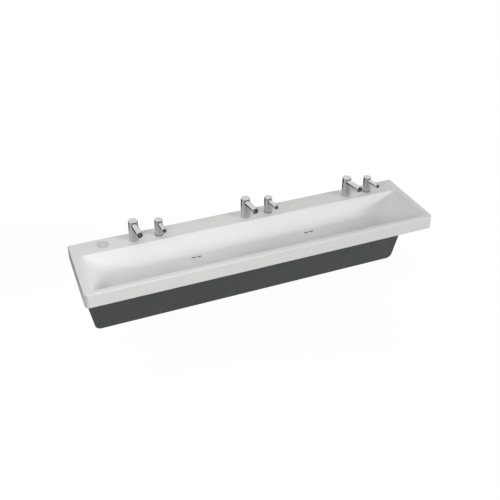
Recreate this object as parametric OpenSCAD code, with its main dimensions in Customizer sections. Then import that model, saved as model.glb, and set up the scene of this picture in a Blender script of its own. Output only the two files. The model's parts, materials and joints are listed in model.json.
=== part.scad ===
// Three-station washbasin for a washroom wall: one solid-surface trough with a
// sensor tap and a soap dispenser at each station, steel brackets under it and
// a dark sheet-steel enclosure that hides the valves, bottles and traps.
// Millimetres. X runs along the basin, the wall is the plane Y = 0, the user
// stands on the -Y side, and the origin is the centre of the wall anchors.

/* [Basin] */
// Length of the basin along the wall
basin_length = 2286; // [2240:1:2400]
// Depth of the basin from the wall to its front face
basin_depth = 540; // [530:1:570]
// Height of the apron round the basin
apron_height = 88; // [70:1:100]
// Thickness of the solid-surface shell
shell_wall = 13; // [11:0.5:15]
// Radius of the two front corners, seen from above
corner_radius = 28; // [20:1:40]
// Radius of the top edge
top_edge_radius = 12; // [6:0.5:13]
// Radius of the bottom edge
bottom_edge_radius = 4; // [2:0.5:6]

/* [Bowl] */
// Depth of the bowl
bowl_depth = 126; // [110:1:132]
// Width of the ledge in front of the bowl
front_ledge = 42; // [36:1:55]
// Width of the deck behind the bowl
deck_width = 143; // [136:1:150]
// Width of the ledge at each end of the bowl
end_ledge = 56; // [50:1:80]
// Run of the rear wall from rim to floor
rear_wall_run = 38; // [25:1:50]
// Run of the front wall from rim to floor
front_wall_run = 30; // [15:1:60]
// Run of each end ramp from rim to floor
end_ramp_run = 128; // [110:1:170]
// Fillet at the foot of the rear wall
rear_fillet = 45; // [30:1:48]
// Fillet at the foot of the front wall
front_fillet = 50; // [30:1:70]
// Fillet at the foot of each end ramp
ramp_fillet = 130; // [70:1:140]
// Radius of the rolled edge where each end ledge turns down into its ramp
end_roll = 55; // [20:1:60]
// Radius of the bowl's corners, seen from above
rim_corner_radius = 35; // [20:1:50]

/* [Drains] */
// Distance from each outer tap to the drain beside it, along the basin
drain_offset = 354; // [330:1:380]
// Distance from the foot of the rear wall to the drains
drain_from_foot = 50; // [46:1:56]
// Length of a drain slot
slot_length = 30; // [24:1:34]
// Width of a drain slot
slot_width = 9; // [6:0.5:10]
// Bridge between the two slots of a drain
slot_bridge = 6; // [4:0.5:10]
// Length of the lift-out drain cover
cover_length = 100; // [90:1:110]
// Width of the lift-out drain cover
cover_width = 30; // [26:1:32]
// Thickness of the lift-out drain cover
cover_thickness = 6; // [5:0.5:7]
// Outer radius of the waste pipe
pipe_r = 16; // [15:0.5:17]
// Wall of the waste pipe
pipe_wall = 1.6; // [1.2:0.1:2]
// Bend radius of the trap
trap_bend_r = 38; // [36:1:40]
// Bend radius of the trap arm's elbow
elbow_bend_r = 30; // [28:1:32]

/* [Stations] */
// Distance from each end of the basin to the outer tap
end_station_inset = 398; // [380:1:420]
// Distance of the taps and dispensers from the wall
deck_row_from_wall = 79; // [74:1:84]
// Distance from each tap to its soap dispenser
soap_offset = 161; // [155:1:170]

/* [Tap] */
// Radius of the tap's column
tap_r = 30; // [26:0.5:33]
// Height of the tap's column above the deck
tap_height = 138; // [130:1:146]
// Radius of the tap's spout
tap_spout_r = 19; // [16:0.5:20]
// Reach of the spout, from the column's axis to its end
tap_reach = 182; // [165:1:195]
// Distance from the top of the column down to the spout's axis
tap_spout_drop = 30; // [27:1:34]
// Radius of the threaded shank through the deck
tap_shank_r = 14; // [12:0.5:15]

/* [Soap dispenser] */
// Radius of the dispenser's column
soap_r = 26; // [23:0.5:28]
// Height of the dispenser's column above the deck
soap_height = 110; // [104:1:116]
// Radius of the dispenser's spout
soap_spout_r = 14; // [11:0.5:15]
// Reach of the dispenser's spout, from the column's axis to its end
soap_reach = 141; // [130:1:155]
// Distance from the top of the column down to the spout's axis
soap_spout_drop = 26; // [23:1:29]
// Radius of the threaded shank through the deck
soap_shank_r = 12; // [10:0.5:13]
// Radius of the soap bottle
bottle_r = 42; // [36:1:44]
// Height of the soap bottle's body
bottle_height = 180; // [150:1:200]

/* [Supply] */
// Outer radius of the braided supply hose
hose_r = 6.5; // [5:0.5:8]
// Radius of the copper supply tube that a stop valve takes
supply_tube_r = 8; // [7:0.5:9]
// Width of a control box
box_width = 70; // [60:1:80]
// Depth of a control box
box_depth = 52; // [50:1:60]
// Height of a control box
box_height = 90; // [80:1:100]
// Distance from the rim down to the top of the control boxes
box_drop = 255; // [245:1:265]

/* [Enclosure] */
// Depth of the enclosure below the bottom of the apron
enclosure_drop = 412; // [380:1:440]
// Distance from the drains forward to the enclosure's front, at its top
enclosure_ahead = 46; // [44:1:54]
// Run of the enclosure's front back towards the wall, from top to bottom
front_run = 51; // [40:1:60]
// Setback of the enclosure's ends at the bottom of the apron
end_setback_top = 8; // [7:1:12]
// Setback of the enclosure's ends at its bottom
end_setback_bottom = 89; // [70:1:110]
// Radius of the enclosure's lower corners
enclosure_corner_r = 42; // [30:1:60]
// Thickness of the sheet steel
sheet = 2; // [1.5:0.1:2.5]
// Width of the folded lips
lip_width = 20; // [18:1:26]
// Distance from the underside of the bowl down to the panel's hinge
hinge_below_bowl = 47; // [45:1:55]
// Radius of the hinge's knuckles
knuckle_r = 4; // [3.5:0.1:4.5]
// Radius of the hinge pin
hinge_pin_r = 1.6; // [1.3:0.1:1.8]

/* [Wall brackets] */
// Distance from each outer tap out to the bracket beside it
outer_bracket_offset = 70; // [68:1:76]
// Distance from each drain in to the bracket beside it
inner_bracket_offset = 126; // [110:1:140]
// Height between the two anchor holes of a bracket
anchor_spacing = 160; // [140:1:170]
// Distance from the bottom of the apron down to the upper anchor hole
anchor_below_apron = 42; // [30:1:50]
// Radius of the anchor holes
anchor_hole_r = 5.5; // [4.5:0.5:6.5]
// Thickness of the bracket's plates
plate = 5; // [4:0.5:6]
// Width of the bracket's flanges
flange_width = 40; // [36:1:44]

/* [Hidden] */
$fn = 64;
STATIONS = [1, 2, 3];
SIDES = ["left", "right"];

// Colours
SURFACE = [0.87, 0.87, 0.86];
METAL = [0.72, 0.72, 0.72];
DARK = [0.16, 0.16, 0.16];
CHARCOAL = [0.29, 0.29, 0.29];
RUBBER = [0.1, 0.1, 0.1];
PLASTIC = [0.93, 0.93, 0.9];
BRASS = [0.78, 0.66, 0.36];
STEEL = [0.6, 0.62, 0.64];

// Clearances
cut = 1;
overrun = 40;
seat_gap = 0.3;
running_fit = 0.05;
shadow_gap = 0.8;

// Heights
deck_z = apron_height + anchor_below_apron + anchor_spacing / 2;
deck_under_z = deck_z - shell_wall;
apron_z = deck_z - apron_height;
floor_z = deck_z - bowl_depth;
floor_under_z = floor_z - shell_wall;
pan_z = apron_z - enclosure_drop;

// Places along X and Y
half_length = basin_length / 2;
station_pitch = half_length - end_station_inset;
drain_inset = station_pitch - drain_offset;
outer_bracket_x = station_pitch + outer_bracket_offset;
inner_bracket_x = drain_inset - inner_bracket_offset;
bracket_xs = [-outer_bracket_x, -inner_bracket_x, inner_bracket_x, outer_bracket_x];
row_y = -deck_row_from_wall;
drain_y = -(deck_width + rear_wall_run + drain_from_foot);
function station_x(i) = (i - 2) * station_pitch;
function soap_x(i) = station_x(i) + soap_offset;
function side_sign(side) = side == "left" ? -1 : 1;
function drain_x(side) = side_sign(side) * drain_inset;

// One foot of the bowl's section: the rim point, the two tangent points of
// its fillet and the fillet's centre. grow moves the outline out by a wall.
function foot(rim, run, fillet, grow, side, top) =
    let (slant = norm([run, bowl_depth]))
    let (out = rim + side * grow * slant / bowl_depth)
    let (corner = [out - side * run * (bowl_depth + grow) / bowl_depth, -(bowl_depth + grow)])
    let (radius = fillet + grow)
    let (tangent = radius * tan((90 - atan(run / bowl_depth)) / 2))
    [
        [out + side * run * top / bowl_depth, top],
        corner + tangent * [side * run, bowl_depth] / slant,
        corner - [side * tangent, 0],
        corner + [-side * tangent, radius]
    ];

module bowl_section(a, b, fillet_a, fillet_b) {
    polygon([a[0], a[1], a[2], b[2], b[1], b[0]]);
    translate(a[3]) circle(fillet_a);
    translate(b[3]) circle(fillet_b);
}

module rounded_rectangle(size, radius) {
    square([size[0], size[1] - 2 * radius], center = true);
    square([size[0] - 2 * radius, size[1]], center = true);
    for (x = [-1, 1], y = [-1, 1])
        translate([x * (size[0] / 2 - radius), y * (size[1] / 2 - radius)]) circle(radius);
}

module stadium(length, width) {
    square([length - width, width], center = true);
    for (k = [-1, 1]) translate([k * (length - width) / 2, 0]) circle(width / 2);
}

function rear_foot(grow, top) = foot(-deck_width, rear_wall_run, rear_fillet, grow, 1, top);
function front_foot(grow, top) = foot(front_ledge - basin_depth, front_wall_run, front_fillet, grow, -1, top);
function end_foot(grow, side, top) =
    foot(side * (half_length - end_ledge), end_ramp_run, ramp_fillet, grow, side, top);

// The rolled edge of an end ramp touches the ramp's slope, and its top stands
// roll_break above the deck, so that it meets the ledge at a slight angle
roll_break = 0.3;
ramp_slant = norm([end_ramp_run, bowl_depth]);
roll_low = end_roll - roll_break;
roll_out = (end_roll * ramp_slant - roll_low * end_ramp_run) / bowl_depth;
roll_touch = end_roll * [-bowl_depth, end_ramp_run] / ramp_slant;

// What the rolled edge takes off the corner between ledge and ramp
module end_roll_section(side, top) {
    translate([side * (half_length - end_ledge + roll_out), -roll_low])
        difference() {
            polygon([
                [side * roll_touch[0], roll_touch[1]],
                [0, roll_touch[1]],
                [0, roll_low + top],
                [side * roll_touch[0], roll_low + top]
            ]);
            circle(end_roll);
        }
}

// The hollow of the bowl, or with grow the outside of its shell
module bowl_space(grow, top) {
    front_rim = front_foot(grow, 0)[0][0];
    rear_rim = rear_foot(grow, 0)[0][0];
    end_rim = grow > 0 ? end_foot(grow, 1, 0)[0][0] : half_length - end_ledge + roll_out;
    translate([0, 0, deck_z])
        intersection() {
            translate([-half_length, 0, 0])
                rotate([90, 0, 90])
                    linear_extrude(basin_length)
                        bowl_section(front_foot(grow, top), rear_foot(grow, top), front_fillet + grow, rear_fillet + grow);
            rotate([90, 0, 0])
                linear_extrude(basin_depth) {
                    bowl_section(end_foot(grow, -1, top), end_foot(grow, 1, top), ramp_fillet + grow, ramp_fillet + grow);
                    if (grow == 0)
                        for (side = [-1, 1]) end_roll_section(side, top);
                }
            translate([0, (front_rim + rear_rim) / 2, -(bowl_depth + grow + cut)])
                linear_extrude(bowl_depth + grow + cut + top)
                    rounded_rectangle([2 * end_rim, rear_rim - front_rim], rim_corner_radius + grow);
        }
}

// Section of the slab's edge, measured out from the centre of a front corner
module edge_section() {
    low = bottom_edge_radius;
    high = top_edge_radius;
    polygon([
        [0, -apron_height],
        [corner_radius - low, -apron_height],
        [corner_radius, low - apron_height],
        [corner_radius, -high],
        [corner_radius - high, 0],
        [0, 0]
    ]);
    translate([corner_radius - low, low - apron_height]) circle(low);
    translate([corner_radius - high, -high]) circle(high);
}

module slab_block() {
    inner_x = half_length - corner_radius;
    inner_y = basin_depth - corner_radius;
    translate([-inner_x, -inner_y, -apron_height]) cube([2 * inner_x, inner_y, apron_height]);
    translate([-inner_x, -inner_y, 0])
        rotate([90, 0, 90])
            linear_extrude(2 * inner_x)
                mirror([1, 0]) edge_section();
    for (side = [-1, 1]) {
        translate([side * inner_x, 0, 0])
            rotate([90, 0, 0])
                linear_extrude(inner_y)
                    mirror([side < 0 ? 1 : 0, 0]) edge_section();
        translate([side * inner_x, -inner_y, 0])
            rotate([0, 0, side < 0 ? 180 : 270])
                rotate_extrude(angle = 90) edge_section();
    }
}

module basin_pocket() {
    inner_r = corner_radius - shell_wall;
    size = [basin_length - 2 * shell_wall, basin_depth - 2 * shell_wall];
    translate([0, -basin_depth / 2, -apron_height - cut])
        linear_extrude(apron_height + cut - shell_wall)
            rounded_rectangle(size, inner_r);
}

cover_gap = 0.4;
cover_corner_r = 8;
drain_ledge = 4;
medallion_r = 42;
medallion_thickness = 2;
medallion_from_end = 204;
medallion_from_wall = 66;
hole_margin = 3;

module basin() color(SURFACE) difference() {
    union() {
        translate([0, 0, deck_z])
            difference() {
                slab_block();
                basin_pocket();
            }
        bowl_space(shell_wall, -shell_wall / 2);
    }
    bowl_space(0, overrun);
    for (i = STATIONS) {
        translate([station_x(i), row_y, deck_under_z - cut])
            cylinder(r = tap_shank_r + hole_margin, h = shell_wall + 2 * cut);
        translate([soap_x(i), row_y, deck_under_z - cut])
            cylinder(r = soap_shank_r + hole_margin, h = shell_wall + 2 * cut);
    }
    for (side = SIDES)
        translate([drain_x(side), drain_y, 0]) {
            translate([0, 0, floor_z - cover_thickness])
                linear_extrude(cover_thickness + cut)
                    rounded_rectangle([cover_length, cover_width] + 2 * cover_gap * [1, 1], cover_corner_r + cover_gap);
            translate([0, 0, floor_under_z - cut])
                linear_extrude(shell_wall + cut)
                    rounded_rectangle([cover_length, cover_width] - 2 * drain_ledge * [1, 1], cover_corner_r - drain_ledge);
        }
    translate([medallion_from_end - half_length, -medallion_from_wall, deck_z - medallion_thickness])
        cylinder(r = medallion_r + seat_gap, h = medallion_thickness + cut);
    basin_screw_holes();
}

medallion_ring_r = 19;
medallion_ring_width = 1.5;
medallion_ring_depth = 0.6;

// A blank inlaid disc with one turned ring
module deck_medallion() color(PLASTIC)
    translate([medallion_from_end - half_length, -medallion_from_wall, deck_z - medallion_thickness])
        difference() {
            cylinder(r = medallion_r, h = medallion_thickness);
            translate([0, 0, medallion_thickness - medallion_ring_depth])
                difference() {
                    cylinder(r = medallion_ring_r, h = medallion_ring_depth + cut);
                    translate([0, 0, -cut])
                        cylinder(r = medallion_ring_r - medallion_ring_width, h = medallion_ring_depth + 3 * cut);
                }
        }

module drain_cover(side) color(SURFACE)
    translate([drain_x(side), drain_y, floor_z - cover_thickness])
        difference() {
            linear_extrude(cover_thickness) rounded_rectangle([cover_length, cover_width], cover_corner_r);
            for (k = [-1, 1])
                translate([k * (slot_length + slot_bridge) / 2, 0, -cut])
                    linear_extrude(cover_thickness + 2 * cut)
                        stadium(slot_length, slot_width);
        }

// A path of tube: the next piece starts where the last one ends
module straight(length, outer, inner = 0) {
    difference() {
        cylinder(r = outer, h = length);
        if (inner > 0) translate([0, 0, -cut]) cylinder(r = inner, h = length + 2 * cut);
    }
    translate([0, 0, length]) children();
}

module bend(angle, radius, outer, inner = 0) {
    translate([radius, 0, 0])
        rotate([90, 0, 0])
            rotate([0, 0, 180 - angle])
                rotate_extrude(angle = angle)
                    translate([radius, 0])
                        difference() {
                            circle(outer);
                            if (inner > 0) circle(inner);
                        }
    translate([radius * (1 - cos(angle)), 0, radius * sin(angle)])
        rotate([0, angle, 0]) children();
}

// Columns on the deck
tap_spout_height = tap_height - tap_spout_drop;
soap_spout_height = soap_height - soap_spout_drop;
spout_rise = 9;
spigot_share = 0.6;
spigot_depth = 16;
spigot_reach = 20;
cap_height = 9;
cap_edge_r = 3;
cap_spigot_share = 0.75;
shank_length = 62;
window_inset = 3;
window_gap = 0.3;
window_rim = 1.5;
outlet_setback = 20;
outlet_share = 0.58;
outlet_proud = 4;
outlet_seat_share = 0.35;

module spout_frame(x, height) {
    translate([x, row_y, deck_z + height]) rotate([90 - spout_rise, 0, 0]) children();
}

module column(x, r, height, shank_r, spout_r, spout_height) {
    body_height = height - cap_height;
    difference() {
        translate([x, row_y, deck_z]) {
            cylinder(r = r, h = body_height);
            translate([0, 0, -shank_length]) cylinder(r = shank_r, h = shank_length + cut);
        }
        spout_frame(x, spout_height)
            translate([0, 0, r - spigot_depth])
                cylinder(r = spout_r * spigot_share + running_fit, h = spigot_depth + overrun);
    }
}

module spout(x, r, spout_r, reach, spout_height) {
    difference() {
        spout_frame(x, spout_height) cylinder(r = spout_r, h = reach);
        translate([x, row_y, deck_z]) cylinder(r = r + seat_gap, h = 2 * spout_height);
        spout_frame(x, spout_height) {
            translate([0, 0, reach - window_inset]) cylinder(r = spout_r - window_rim, h = window_inset + cut);
            translate([0, -spout_r * outlet_seat_share, reach - outlet_setback])
                rotate([90, 0, 0]) cylinder(r = spout_r * outlet_share + running_fit, h = spout_r);
        }
    }
    spout_frame(x, spout_height)
        translate([0, 0, r - spigot_depth + seat_gap])
            cylinder(r = spout_r * spigot_share, h = spigot_depth + spigot_reach - seat_gap);
}

module window(x, spout_r, reach, spout_height) {
    spout_frame(x, spout_height)
        translate([0, 0, reach - window_inset])
            cylinder(r = spout_r - window_rim - window_gap, h = window_inset - window_gap);
}

outlet_wall = 2.2;
outlet_recess = 3;

module aerator(x, spout_r, reach, spout_height) {
    length = spout_r * (1 - outlet_seat_share) + outlet_proud;
    spout_frame(x, spout_height)
        translate([0, -spout_r * outlet_seat_share, reach - outlet_setback])
            rotate([90, 0, 0])
                difference() {
                    cylinder(r = spout_r * outlet_share, h = length);
                    translate([0, 0, length - outlet_recess])
                        cylinder(r = spout_r * outlet_share - outlet_wall, h = outlet_recess + cut);
                }
}

// Cylinder whose top edge is rounded
module turned_block(r, height, edge_r) {
    rotate_extrude() {
        square([r - edge_r, height]);
        square([r, height - edge_r]);
        translate([r - edge_r, height - edge_r]) circle(edge_r);
    }
}

module cap(x, r, height) {
    translate([x, row_y, deck_z + height - cap_height]) {
        cylinder(r = r * cap_spigot_share, h = shadow_gap);
        translate([0, 0, shadow_gap]) turned_block(r, cap_height - shadow_gap, cap_edge_r);
    }
}

module tap_body(i) color(METAL) column(station_x(i), tap_r, tap_height, tap_shank_r, tap_spout_r, tap_spout_height);
module tap_spout(i) color(METAL) spout(station_x(i), tap_r, tap_spout_r, tap_reach, tap_spout_height);
module tap_caps() color(METAL) for (i = STATIONS) cap(station_x(i), tap_r, tap_height);
module tap_aerators() color(DARK) for (i = STATIONS) aerator(station_x(i), tap_spout_r, tap_reach, tap_spout_height);

module sensor_windows() color(DARK) for (i = STATIONS) {
    window(station_x(i), tap_spout_r, tap_reach, tap_spout_height);
    window(soap_x(i), soap_spout_r, soap_reach, soap_spout_height);
}

base_ring_height = 4;
base_ring_proud = 1;

module soap_body(i) color(METAL)
    difference() {
        column(soap_x(i), soap_r, soap_height, soap_shank_r, soap_spout_r, soap_spout_height);
        translate([soap_x(i), row_y, deck_z])
            difference() {
                cylinder(r = soap_r + cut, h = base_ring_height);
                translate([0, 0, -cut]) cylinder(r = soap_shank_r, h = base_ring_height + 2 * cut);
            }
    }

module soap_spout(i) color(METAL) spout(soap_x(i), soap_r, soap_spout_r, soap_reach, soap_spout_height);
module soap_caps() color(METAL) for (i = STATIONS) cap(soap_x(i), soap_r, soap_height);

module soap_base_rings() color(RUBBER) for (i = STATIONS)
    translate([soap_x(i), row_y, deck_z])
        difference() {
            cylinder(r = soap_r + base_ring_proud, h = base_ring_height);
            translate([0, 0, -cut]) cylinder(r = soap_shank_r + running_fit, h = base_ring_height + 2 * cut);
        }

// Under the deck
washer_thickness = 3;
washer_margin = 10;
nut_height = 12;
nut_margin = 11;

module washer(x, shank_r) {
    translate([x, row_y, deck_under_z - washer_thickness])
        difference() {
            cylinder(r = shank_r + washer_margin, h = washer_thickness);
            translate([0, 0, -cut]) cylinder(r = shank_r + running_fit, h = washer_thickness + 2 * cut);
        }
}

module hex_nut(x, shank_r) {
    translate([x, row_y, deck_under_z - washer_thickness - nut_height])
        difference() {
            linear_extrude(nut_height) circle(shank_r + nut_margin, $fn = 6);
            translate([0, 0, -cut]) cylinder(r = shank_r + running_fit, h = nut_height + 2 * cut);
        }
}

module mounting_washers() color(RUBBER) for (i = STATIONS) {
    washer(station_x(i), tap_shank_r);
    washer(soap_x(i), soap_shank_r);
}

module mounting_nuts() color(BRASS) for (i = STATIONS) {
    hex_nut(station_x(i), tap_shank_r);
    hex_nut(soap_x(i), soap_shank_r);
}

pump_r = 32;
pump_height = 34;
pump_neck_height = 18;
neck_r = 17;
neck_height = 16;
collar_wall = 5;
shoulder_height = 14;
bottle_edge_r = 8;
pump_top_z = deck_z - shank_length;
pump_neck_z = pump_top_z - pump_height;
bottle_top_z = pump_neck_z - seat_gap;

// Motor housing on the end of the shank, with the collar that takes the bottle
module soap_pump(i) color(DARK)
    translate([soap_x(i), row_y, pump_neck_z])
        difference() {
            union() {
                cylinder(r = pump_r, h = pump_height);
                translate([0, 0, -pump_neck_height]) cylinder(r = neck_r + collar_wall + seat_gap, h = pump_neck_height);
                translate([0, 0, pump_height]) cylinder(r = soap_shank_r + collar_wall, h = pump_neck_height);
            }
            translate([0, 0, -pump_neck_height - cut]) cylinder(r = neck_r + seat_gap, h = pump_neck_height + cut);
            translate([0, 0, pump_height]) cylinder(r = soap_shank_r + running_fit, h = pump_neck_height + cut);
        }

module soap_bottle(i) color(PLASTIC)
    translate([soap_x(i), row_y, bottle_top_z - pump_neck_height]) {
        cylinder(r = neck_r, h = pump_neck_height);
        translate([0, 0, -shoulder_height]) {
            cylinder(r1 = bottle_r, r2 = neck_r, h = shoulder_height);
            rotate([180, 0, 0]) turned_block(bottle_r, bottle_height, bottle_edge_r);
        }
    }

// Water supply
ferrule_r = 10;
ferrule_length = 18;
box_y = -30;
box_corner_r = 6;
box_top_z = deck_z - box_drop;
box_lid_thickness = 12;
box_lid_step = 1;
valve_drop = 40;
valve_r = 12;
valve_wall_gap = 8;
valve_back_y = -valve_wall_gap;
valve_front_y = -52;
socket_depth = 18;
outlet_r = 8;
bonnet_r = 9;
bonnet_length = 10;
stem_r = 4;
stem_length = 14;
valve_z = box_top_z - box_height - valve_drop;

hose_top_z = deck_z - shank_length;
hose_shift = abs(row_y - box_y);
hose_bend_r = hose_shift / 2;
hose_fall = hose_top_z - box_top_z - 2 * ferrule_length - 2 * hose_bend_r;

// Hose from the tap's shank down and back to the control box
module supply_hose(i) color(STEEL)
    translate([station_x(i), row_y, hose_top_z])
        rotate([180, 0, 90])
            straight(ferrule_length, ferrule_r)
                straight(hose_fall / 2, hose_r)
                    bend(90, hose_bend_r, hose_r)
                        rotate([0, 0, 180])
                            bend(90, hose_bend_r, hose_r)
                                straight(hose_fall / 2, hose_r)
                                    straight(ferrule_length, ferrule_r);

module control_box(i) color(CHARCOAL)
    translate([station_x(i), 0, box_top_z - box_height])
        difference() {
            union() {
                translate([0, -box_depth / 2 + box_lid_thickness / 2, 0])
                    linear_extrude(box_height)
                        rounded_rectangle([box_width, box_depth - box_lid_thickness], box_corner_r);
                translate([0, -box_depth + box_lid_thickness, box_lid_step])
                    linear_extrude(box_height - 2 * box_lid_step)
                        rounded_rectangle([box_width - 2 * box_lid_step, 2 * box_lid_thickness], box_corner_r);
            }
            translate([0, box_y, -cut]) cylinder(r = outlet_r + running_fit, h = socket_depth / 2 + cut);
        }

module stop_valve(i) color(METAL)
    translate([station_x(i), 0, valve_z])
        difference() {
            union() {
                translate([0, valve_back_y, 0]) rotate([90, 0, 0]) cylinder(r = valve_r, h = valve_back_y - valve_front_y);
                translate([0, box_y, 0]) cylinder(r = outlet_r, h = valve_drop + socket_depth / 2 - seat_gap);
                translate([0, valve_front_y + cut, 0]) rotate([90, 0, 0]) cylinder(r = bonnet_r, h = bonnet_length + cut);
                translate([0, valve_front_y - bonnet_length + cut, 0])
                    rotate([90, 0, 0]) cylinder(r = stem_r, h = stem_length + cut);
            }
            translate([0, valve_back_y + cut, 0]) rotate([90, 0, 0]) cylinder(r = supply_tube_r, h = socket_depth + cut);
        }

handle_length = 42;
handle_width = 18;
handle_thickness = 14;
handle_front_wall = 2;
handle_gap = 0.5;

module stop_handle(i) color(METAL)
    translate([station_x(i), valve_front_y - bonnet_length - handle_gap, valve_z])
        rotate([90, 0, 0])
            difference() {
                linear_extrude(handle_thickness + handle_front_wall)
                    stadium(handle_length, handle_width);
                translate([0, 0, -cut])
                    cylinder(r = stem_r + running_fit, h = stem_length - handle_gap + seat_gap + cut);
            }

// Waste
gasket_thickness = 2;
sump_wall = 3;
sump_screw_margin = 8;
sump_screw_x = cover_length / 2 + sump_screw_margin;
sump_flange_thickness = 4;
sump_flange_length = 2 * (sump_screw_x + sump_screw_margin + cut);
sump_flange_width = 50;
sump_flange_corner_r = 10;
sump_length = 2 * (sump_screw_x - sump_screw_margin - 2 * cut);
sump_height = 37;
sump_front = 23;
sump_back = 71;
sump_mouth_back = 20;
outlet_offset = 49;
outlet_length = 23;
sump_top_z = floor_under_z - gasket_thickness;
sump_bottom_z = sump_top_z - sump_flange_thickness - sump_height;
trap_y = drain_y + outlet_offset;
bell_wall = 2.2;
bell_length = 18;
shoulder = 2;
bell_gap = 0.3;
bell_r = pipe_r + bell_gap + bell_wall;
bell_reach = 15;
trap_in_z = sump_bottom_z - outlet_length + bell_reach;
trap_leg = 52;
trap_rise = 18;
arm_leg = 20;

module sump_outline(margin) {
    low = sump_bottom_z - sump_top_z + margin;
    back = drain_y + sump_back - margin;
    front = drain_y - sump_front + margin;
    mouth = drain_y + sump_mouth_back - margin;
    roof = -sump_flange_thickness - margin;
    top = margin > 0 ? cut : -cut;
    polygon([[front, low], [back, low], [back, roof], [mouth, roof], [mouth, top], [front, top]]);
}

// Offset cup under a drain, whose outlet lies nearer the wall than its mouth
module drain_sump(side) color(DARK)
    translate([drain_x(side), 0, sump_top_z])
        difference() {
            union() {
                translate([-sump_length / 2, 0, 0])
                    rotate([90, 0, 90]) linear_extrude(sump_length) sump_outline(0);
                translate([0, drain_y, -sump_flange_thickness])
                    linear_extrude(sump_flange_thickness)
                        rounded_rectangle([sump_flange_length, sump_flange_width], sump_flange_corner_r);
                translate([0, trap_y, sump_bottom_z - sump_top_z - outlet_length])
                    cylinder(r = pipe_r, h = outlet_length + cut);
            }
            translate([sump_wall - sump_length / 2, 0, 0])
                rotate([90, 0, 90]) linear_extrude(sump_length - 2 * sump_wall) sump_outline(sump_wall);
            translate([0, trap_y, sump_bottom_z - sump_top_z - outlet_length - cut])
                cylinder(r = pipe_r - pipe_wall, h = outlet_length + sump_wall + 2 * cut);
            for (k = [-1, 1])
                translate([k * sump_screw_x, drain_y, -sump_flange_thickness - cut])
                    cylinder(r = screw_r + running_fit, h = sump_flange_thickness + 2 * cut);
        }

module sump_gaskets() color(RUBBER) for (side = SIDES)
    translate([drain_x(side), drain_y, sump_top_z])
        difference() {
            linear_extrude(gasket_thickness)
                rounded_rectangle([sump_flange_length, sump_flange_width], sump_flange_corner_r);
            translate([0, 0, -cut])
                linear_extrude(gasket_thickness + 2 * cut)
                    rounded_rectangle([sump_length - 2 * sump_wall, 2 * (sump_mouth_back - sump_wall)], cover_corner_r - drain_ledge);
            for (k = [-1, 1])
                translate([k * sump_screw_x, 0, -cut]) cylinder(r = screw_r + running_fit, h = gasket_thickness + 2 * cut);
        }

module trap_bend(side) color(METAL)
    translate([drain_x(side), trap_y, trap_in_z])
        rotate([180, 0, 90])
            straight(bell_length, bell_r, pipe_r + bell_gap)
                straight(shoulder, bell_r, pipe_r - pipe_wall)
                    straight(trap_leg, pipe_r, pipe_r - pipe_wall)
                        bend(180, trap_bend_r, pipe_r, pipe_r - pipe_wall)
                            straight(trap_rise, pipe_r, pipe_r - pipe_wall)
                                straight(shoulder, bell_r, pipe_r - pipe_wall)
                                    straight(bell_length, bell_r, pipe_r + bell_gap);

trap_out_y = trap_y + 2 * trap_bend_r;
trap_mouth_z = trap_in_z - trap_leg + trap_rise;
arm_start_z = trap_mouth_z - bell_reach;
arm_y = trap_out_y + elbow_bend_r;
arm_z = arm_start_z + arm_leg + elbow_bend_r;

module trap_arm(side) color(METAL)
    translate([drain_x(side), trap_out_y, arm_start_z])
        rotate([0, 0, 90])
            straight(arm_leg, pipe_r, pipe_r - pipe_wall)
                bend(90, elbow_bend_r, pipe_r, pipe_r - pipe_wall)
                    straight(-arm_y, pipe_r, pipe_r - pipe_wall);

slip_nut_wall = 5;
slip_nut_lip = 4;
slip_nut_reach = 15;
grip_count = 10;
grip_r = 3;

module slip_nut() {
    outer = bell_r + slip_nut_wall;
    difference() {
        translate([0, 0, -slip_nut_reach]) cylinder(r = outer, h = slip_nut_reach + slip_nut_lip);
        translate([0, 0, -slip_nut_reach - cut]) cylinder(r = bell_r + running_fit, h = slip_nut_reach + cut);
        cylinder(r = pipe_r + running_fit, h = slip_nut_lip + cut);
        for (a = [1:grip_count])
            rotate([0, 0, a * 360 / grip_count])
                translate([outer + grip_r / 2, 0, -slip_nut_reach - cut]) cylinder(r = grip_r, h = slip_nut_reach + slip_nut_lip + 2 * cut);
    }
}

module slip_nuts() color(DARK) for (side = SIDES) {
    translate([drain_x(side), trap_y, trap_in_z]) slip_nut();
    translate([drain_x(side), trap_out_y, trap_mouth_z]) slip_nut();
}

// Enclosure
enclosure_depth = enclosure_ahead - drain_y;
front_lean = atan(front_run / enclosure_drop);
hinge_drop = bowl_depth + shell_wall - apron_height + hinge_below_bowl;
end_slope = (end_setback_bottom - end_setback_top) / enclosure_drop;
lip_gap = 0.5;
seam_x = half_length - end_setback_bottom - 2 * enclosure_corner_r;
bowl_gap = 0.5;
header_seam = 5;

// Outline of the enclosure in the XZ plane, moved in by inset
module enclosure_outline(inset) {
    bottom = -enclosure_drop + inset;
    slant = norm([1, end_slope]);
    edge = half_length - end_setback_top - inset * slant;
    corner_r = enclosure_corner_r - inset;
    corner_x = edge - end_slope * (enclosure_drop - inset);
    tangent = corner_r * tan((90 - atan(end_slope)) / 2);
    side = [corner_x + tangent * end_slope / slant, bottom + tangent / slant];
    polygon([
        [-edge - end_slope * cut, cut],
        [-side[0], side[1]],
        [tangent - corner_x, bottom],
        [corner_x - tangent, bottom],
        side,
        [edge + end_slope * cut, cut]
    ]);
    for (k = [-1, 1]) translate([k * (corner_x - tangent), bottom + corner_r]) circle(corner_r);
}

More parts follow.
